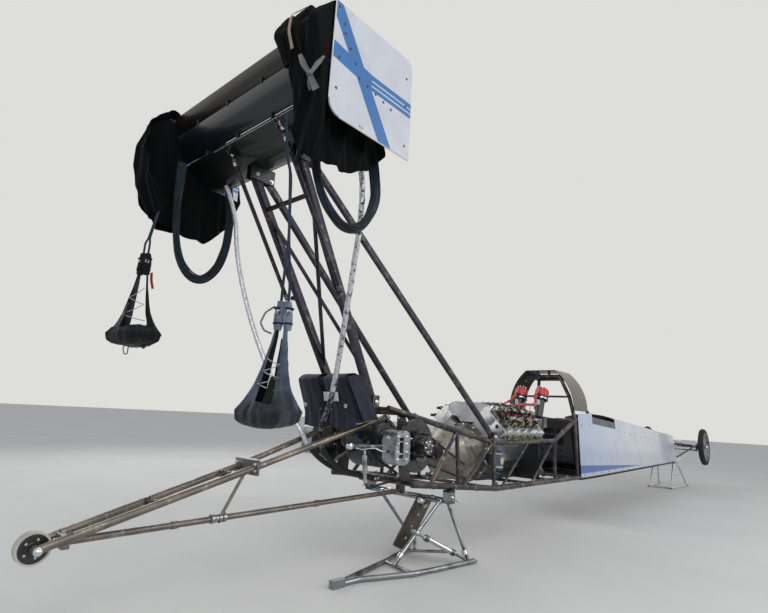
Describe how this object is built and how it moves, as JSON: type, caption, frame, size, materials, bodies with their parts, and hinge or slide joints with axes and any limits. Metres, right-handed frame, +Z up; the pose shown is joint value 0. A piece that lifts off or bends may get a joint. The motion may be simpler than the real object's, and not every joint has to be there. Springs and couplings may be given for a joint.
{
  "type": "drag racing car",
  "caption": "Long rear-engined dragster standing in its pit on two stands: tall rear wing, open engine, wheelie bar, rear wheels and nose panel off.",
  "frame": {"origin": "middle of the footprint, on the floor", "axes": "+X forward along the car, +Y to its left, +Z up"},
  "size_m": [9.7209, 1.534, 2.605],
  "materials": {
    "frame_steel": "dark scaled alloy steel tube, heat tinted",
    "nose_paint": "white paint",
    "body_paint": "gloss white paint",
    "plate_paint": "gloss white with blue bands",
    "grey_sheet": "satin grey sheet",
    "carbon": "carbon fibre",
    "wing_black": "gloss black carbon",
    "billet": "machined",
    "steel_parts": "oiled steel",
    "titanium": "spun titanium",
    "black_cast": "black anodised",
    "red_plastic": "red moulded cap",
    "rim_metal": "polished",
    "tyre_rubber": "matt",
    "small_wheel": "pale moulded tread",
    "stand_metal": "worn plating",
    "navy_nylon": "packed nylon",
    "blue_nylon": "worn nylon",
    "black_nylon": "nylon",
    "black_cord": "braided line",
    "foil_sleeve": "crumpled foil sleeve",
    "black_cloth": "matt cloth"
  },
  "bodies": {
    "chassis": {"rear_frame": "frame_steel", "engine_bay_frame": "frame_steel", "cage_frame": "frame_steel", "forward_frame": "frame_steel", "nose_frame": "nose_paint", "side_panel_right": "body_paint", "side_panel_left": "body_paint", "cockpit_sides": "grey_sheet", "top_cover": "body_paint", "belly_pan": "carbon", "cowl": "carbon", "engine_block": "billet", "oil_pan": "black_cast", "cylinder_heads": "billet", "valve_gear": "steel_parts", "intake_manifold": "billet", "bellhousing": "titanium", "motor_plate": "black_cast", "front_drive": "black_cast", "magneto_drive": "billet", "magnetos": "red_plastic", "axle_housing": "black_cast", "brake_calipers": "billet", "wing_endplates": "plate_paint", "wing_uprights": "frame_steel", "wing_struts": "frame_steel", "wing_main_plane": "wing_black", "wing_middle_flap": "wing_black", "wing_top_flap": "wing_black", "wheelie_frame": "frame_steel", "front_axle_beam": "black_cast", "seat": "carbon", "steering_wheel": "black_cast", "rear_stand": "stand_metal", "front_stand": "stand_metal", "chute_packs": "navy_nylon", "chute_bag_right": "blue_nylon", "chute_bag_left": "black_nylon", "wing_drape_right": "black_cloth", "wing_drape_left": "black_cloth", "magneto_leads": "red_plastic", "line_bundle_right": "black_cord", "line_bundle_left": "black_cord", "tether_right": "foil_sleeve", "tether_left": "foil_sleeve"},
    "rear_axle": {"rear_hubs": "steel_parts", "brake_discs": "carbon"},
    "wheelie_roller": {"wheelie_wheel": "small_wheel"},
    "knuckle_right": {"knuckle_right": "black_cast"},
    "knuckle_left": {"knuckle_left": "black_cast"},
    "tie_rod": {"tie_rod": "black_cast"},
    "front_wheel_right": {"front_rim_right": "rim_metal", "front_tyre_right": "tyre_rubber"},
    "front_wheel_left": {"front_rim_left": "rim_metal", "front_tyre_left": "tyre_rubber"}
  },
  "joints": [
    {"name": "rear_axle_spin", "type": "hinge", "parent": "chassis", "child": "rear_axle", "pos_m": [-3.0475, -0.007, 0.6906], "axis": [0, 1, 0], "continuous": true},
    {"name": "wheelie_spin", "type": "hinge", "parent": "chassis", "child": "wheelie_roller", "pos_m": [-4.8025, -0.007, 0.3206], "axis": [0, 1, 0], "continuous": true},
    {"name": "steer_right", "type": "hinge", "parent": "chassis", "child": "knuckle_right", "pos_m": [4.5725, -0.337, 0.6256], "axis": [0, 0, 1], "range_deg": [-16, 16]},
    {"name": "steer_left", "type": "hinge", "parent": "chassis", "child": "knuckle_left", "pos_m": [4.5725, 0.323, 0.6256], "axis": [0, 0, 1], "range_deg": [-16, 16]},
    {"name": "tie_rod_swing", "type": "hinge", "parent": "knuckle_right", "child": "tie_rod", "pos_m": [4.4625, -0.337, 0.6256], "axis": [0, 0, 1], "range_deg": [-16, 16]},
    {"name": "front_wheel_right_spin", "type": "hinge", "parent": "knuckle_right", "child": "front_wheel_right", "pos_m": [4.5725, -0.427, 0.6256], "axis": [0, 1, 0], "continuous": true},
    {"name": "front_wheel_left_spin", "type": "hinge", "parent": "knuckle_left", "child": "front_wheel_left", "pos_m": [4.5725, 0.413, 0.6256], "axis": [0, 1, 0], "continuous": true}
  ],
  "couplings": [
    {"joint": "steer_left", "follows": "steer_right", "ratio": 1},
    {"joint": "tie_rod_swing", "follows": "steer_right", "ratio": -1}
  ]
}
